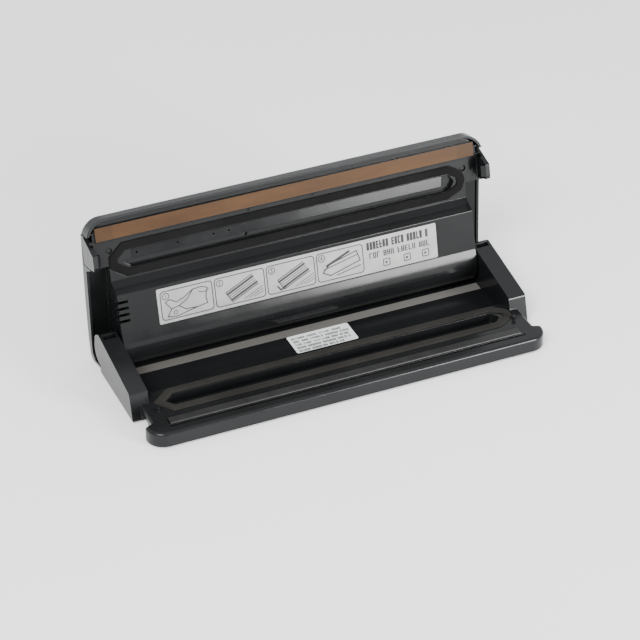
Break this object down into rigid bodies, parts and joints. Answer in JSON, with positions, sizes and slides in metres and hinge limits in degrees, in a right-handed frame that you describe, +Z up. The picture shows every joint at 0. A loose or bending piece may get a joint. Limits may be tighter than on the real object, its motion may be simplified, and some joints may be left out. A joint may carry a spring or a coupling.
{
  "type": "vacuum sealer",
  "caption": "Countertop vacuum sealer: shallow base with press strip and foam ring, two hinge ears, and a thick powered lid standing open with a sealing bar, suction channel and side latches.",
  "frame": {"origin": "middle of the bounding box in X and Y with the lid open, and the plane the feet stand on in Z", "axes": "+X along the hinge to the right, +Y from the front edge to the back, +Z up"},
  "size_m": [0.373, 0.1596, 0.1404],
  "materials": {
    "black_gloss": "gloss",
    "black_satin": "satin",
    "inner_plastic": "satin",
    "foam": "matte",
    "silicone": "satin",
    "rubber": "matte",
    "steel": "satin",
    "tape": "satin",
    "label": "satin",
    "sticker": "matte",
    "heater_carrier": "matte",
    "board": "satin",
    "electric": "satin",
    "aluminium": "satin",
    "core": "matte",
    "hose": "satin",
    "fascia": "gloss",
    "button": "satin",
    "lens": "gloss"
  },
  "bodies": {
    "base": {"base_shell": "black_gloss", "base_bottom_cover": "black_satin", "base_screws": "steel", "base_foot_front_left": "rubber", "base_foot_front_right": "rubber", "base_foot_back_left": "rubber", "base_foot_back_right": "rubber", "press_strip": "silicone", "base_gasket": "foam", "cord_gland": "rubber", "info_sticker": "sticker", "ear_cover_left": "black_satin", "ear_cover_right": "black_satin", "hinge_pin_left": "steel", "hinge_pin_right": "steel"},
    "lid": {"lid_cover": "black_gloss", "lid_inner_panel": "inner_plastic", "lid_screws": "steel", "instruction_label": "label", "lid_gasket": "foam", "heater_bar": "heater_carrier", "heating_wire": "steel", "ptfe_tape": "tape", "heater_clamp_left": "steel", "heater_clamp_right": "steel", "pump_motor": "steel", "pump_head": "black_satin", "pump_bracket": "steel", "suction_hose": "hose", "release_valve": "electric", "vacuum_switch": "electric", "transformer": "core", "circuit_board": "board", "board_capacitor": "electric", "board_relay": "electric", "board_heat_sink": "aluminium", "board_chip": "electric", "control_fascia": "fascia", "button_board": "board", "light_vacuum_seal": "lens", "light_seal": "lens", "light_stop": "lens", "latch_pin_left": "steel", "latch_pin_right": "steel", "latch_spring_left": "steel", "latch_spring_right": "steel", "microswitch_left": "electric", "microswitch_right": "electric"},
    "button_vacuum_seal_body": {"button_vacuum_seal": "button"},
    "button_seal_body": {"button_seal": "button"},
    "button_stop_body": {"button_stop": "button"},
    "latch_left": {"latch_lever_left": "black_satin"},
    "plunger_left": {"switch_plunger_left": "button"},
    "latch_right": {"latch_lever_right": "black_satin"},
    "plunger_right": {"switch_plunger_right": "button"},
    "pump_rotor": {"pump_eccentric": "steel"}
  },
  "joints": [
    {"name": "lid_hinge", "type": "hinge", "parent": "base", "child": "lid", "pos_m": [0, 0.04447, 0.021], "axis": [1, 0, 0], "range_deg": [0, 103.2]},
    {"name": "latch_left_swing", "type": "hinge", "parent": "lid", "child": "latch_left", "pos_m": [-0.1823, 0.06617, 0.10692], "axis": [0, -0.2284, -0.9736], "range_deg": [0, 10], "stiffness_Nm_per_rad": 0.02, "springref_deg": -17.19, "deforming": ["latch_spring_left"]},
    {"name": "latch_right_swing", "type": "hinge", "parent": "lid", "child": "latch_right", "pos_m": [0.1823, 0.06617, 0.10692], "axis": [0, 0.2284, 0.9736], "range_deg": [0, 10], "stiffness_Nm_per_rad": 0.02, "springref_deg": -17.19, "deforming": ["latch_spring_right"]},
    {"name": "button_vacuum_seal_press", "type": "slide", "parent": "lid", "child": "button_vacuum_seal_body", "axis": [0, -0.9958, 0.0919], "range_m": [0, 0.001], "stiffness_N_per_m": 400, "springref_m": -0.0015},
    {"name": "button_seal_press", "type": "slide", "parent": "lid", "child": "button_seal_body", "axis": [0, -0.9958, 0.0919], "range_m": [0, 0.001], "stiffness_N_per_m": 400, "springref_m": -0.0015},
    {"name": "button_stop_press", "type": "slide", "parent": "lid", "child": "button_stop_body", "axis": [0, -0.9958, 0.0919], "range_m": [0, 0.001], "stiffness_N_per_m": 400, "springref_m": -0.0015},
    {"name": "plunger_left_push", "type": "slide", "parent": "lid", "child": "plunger_left", "axis": [0, 0.9736, -0.2284], "range_m": [0, 0.0015], "stiffness_N_per_m": 200, "springref_m": -0.002},
    {"name": "plunger_right_push", "type": "slide", "parent": "lid", "child": "plunger_right", "axis": [0, 0.9736, -0.2284], "range_m": [0, 0.0015], "stiffness_N_per_m": 200, "springref_m": -0.002},
    {"name": "pump_shaft_spin", "type": "hinge", "parent": "lid", "child": "pump_rotor", "pos_m": [-0.024, 0.05239, 0.04513], "axis": [1, 0, 0], "continuous": true}
  ]
}
